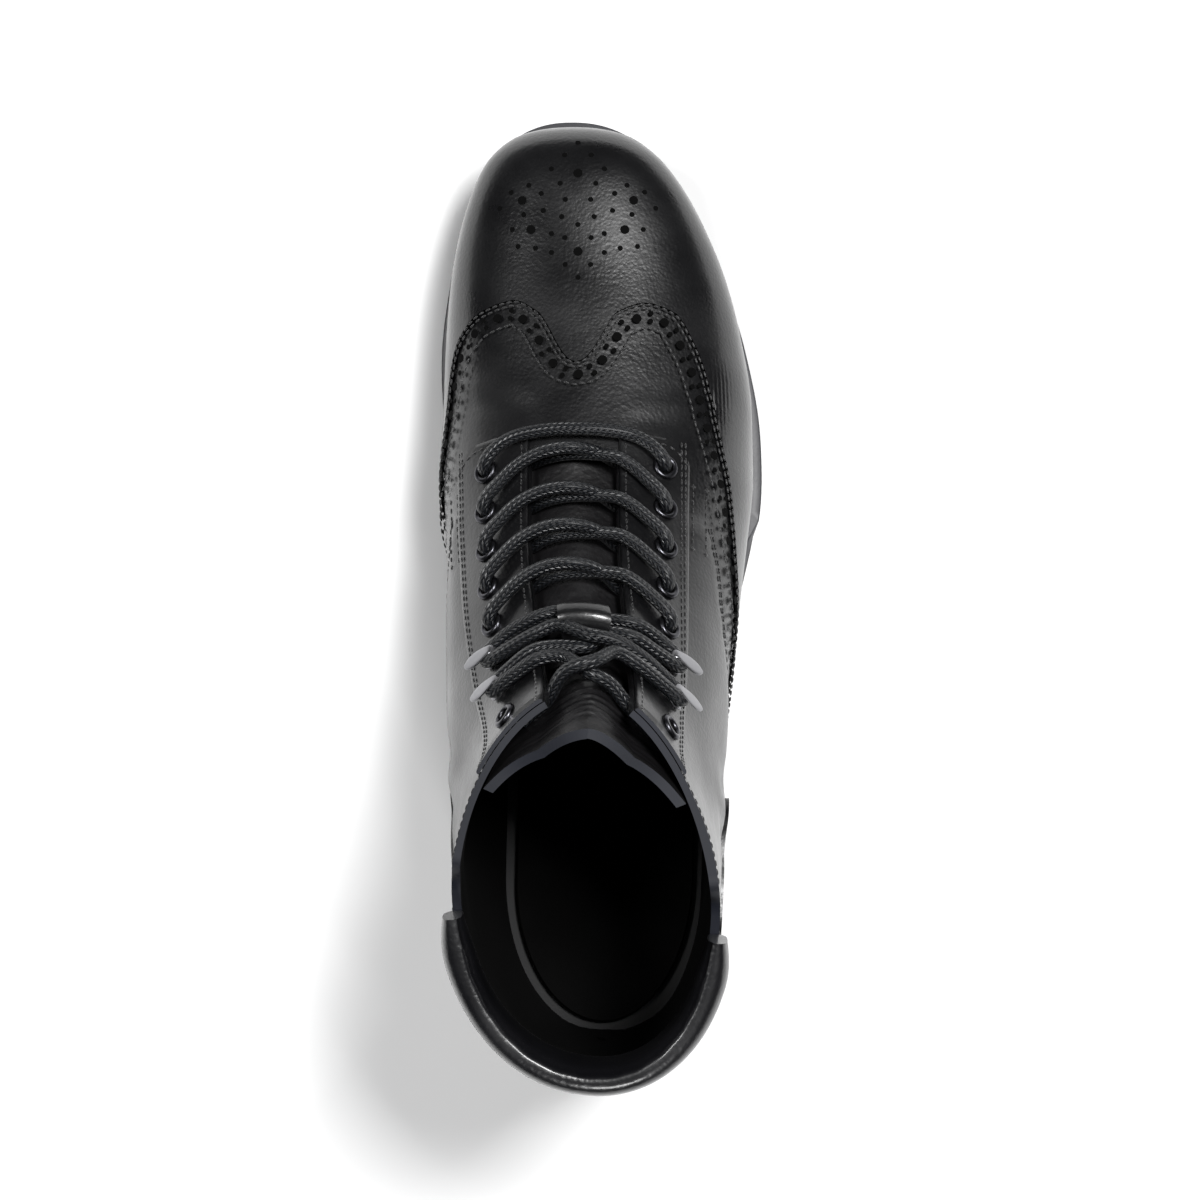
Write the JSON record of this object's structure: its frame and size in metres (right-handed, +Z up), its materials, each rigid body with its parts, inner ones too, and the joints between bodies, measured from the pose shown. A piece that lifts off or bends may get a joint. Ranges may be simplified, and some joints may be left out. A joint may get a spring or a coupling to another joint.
{
  "type": "lace-up boot",
  "caption": "Black leather lace-up boot for the right foot, with a pinked wing tip, speed hooks, round laces, a padded collar and a rubber sole.",
  "frame": {"origin": "centre of the footprint of the whole boot, on the ground under the sole", "axes": "+X outer side of the right foot, +Y towards the toe, +Z up"},
  "size_m": [0.1068, 0.3062, 0.161],
  "materials": {
    "black_leather": "glossy",
    "eyelet_metal": "satin",
    "hook_metal": "brushed",
    "lace_cord": "satin",
    "sock_leather": "matte",
    "sole_rubber": "matte",
    "welt_rubber": "glossy"
  },
  "bodies": {
    "root": {"collar": "black_leather", "counter": "black_leather", "eyelet_lateral_1": "eyelet_metal", "eyelet_lateral_2": "eyelet_metal", "eyelet_lateral_3": "eyelet_metal", "eyelet_lateral_4": "eyelet_metal", "eyelet_lateral_5": "eyelet_metal", "eyelet_lateral_top": "eyelet_metal", "eyelet_medial_1": "eyelet_metal", "eyelet_medial_2": "eyelet_metal", "eyelet_medial_3": "eyelet_metal", "eyelet_medial_4": "eyelet_metal", "eyelet_medial_5": "eyelet_metal", "eyelet_medial_top": "eyelet_metal", "facing_lateral": "black_leather", "facing_medial": "black_leather", "heel": "sole_rubber", "hook_lateral_1": "hook_metal", "hook_lateral_2": "hook_metal", "hook_medial_1": "hook_metal", "hook_medial_2": "hook_metal", "insole": "sock_leather", "lace_keeper": "black_leather", "lace_row_1": "lace_cord", "lace_row_2": "lace_cord", "lace_row_3": "lace_cord", "lace_row_4": "lace_cord", "lace_row_5": "lace_cord", "lace_row_6": "lace_cord", "lace_row_7": "lace_cord", "lace_row_8": "lace_cord", "outsole": "sole_rubber", "tongue": "black_leather", "upper": "black_leather", "welt": "welt_rubber", "wing_cap": "black_leather"}
  },
  "joints": []
}
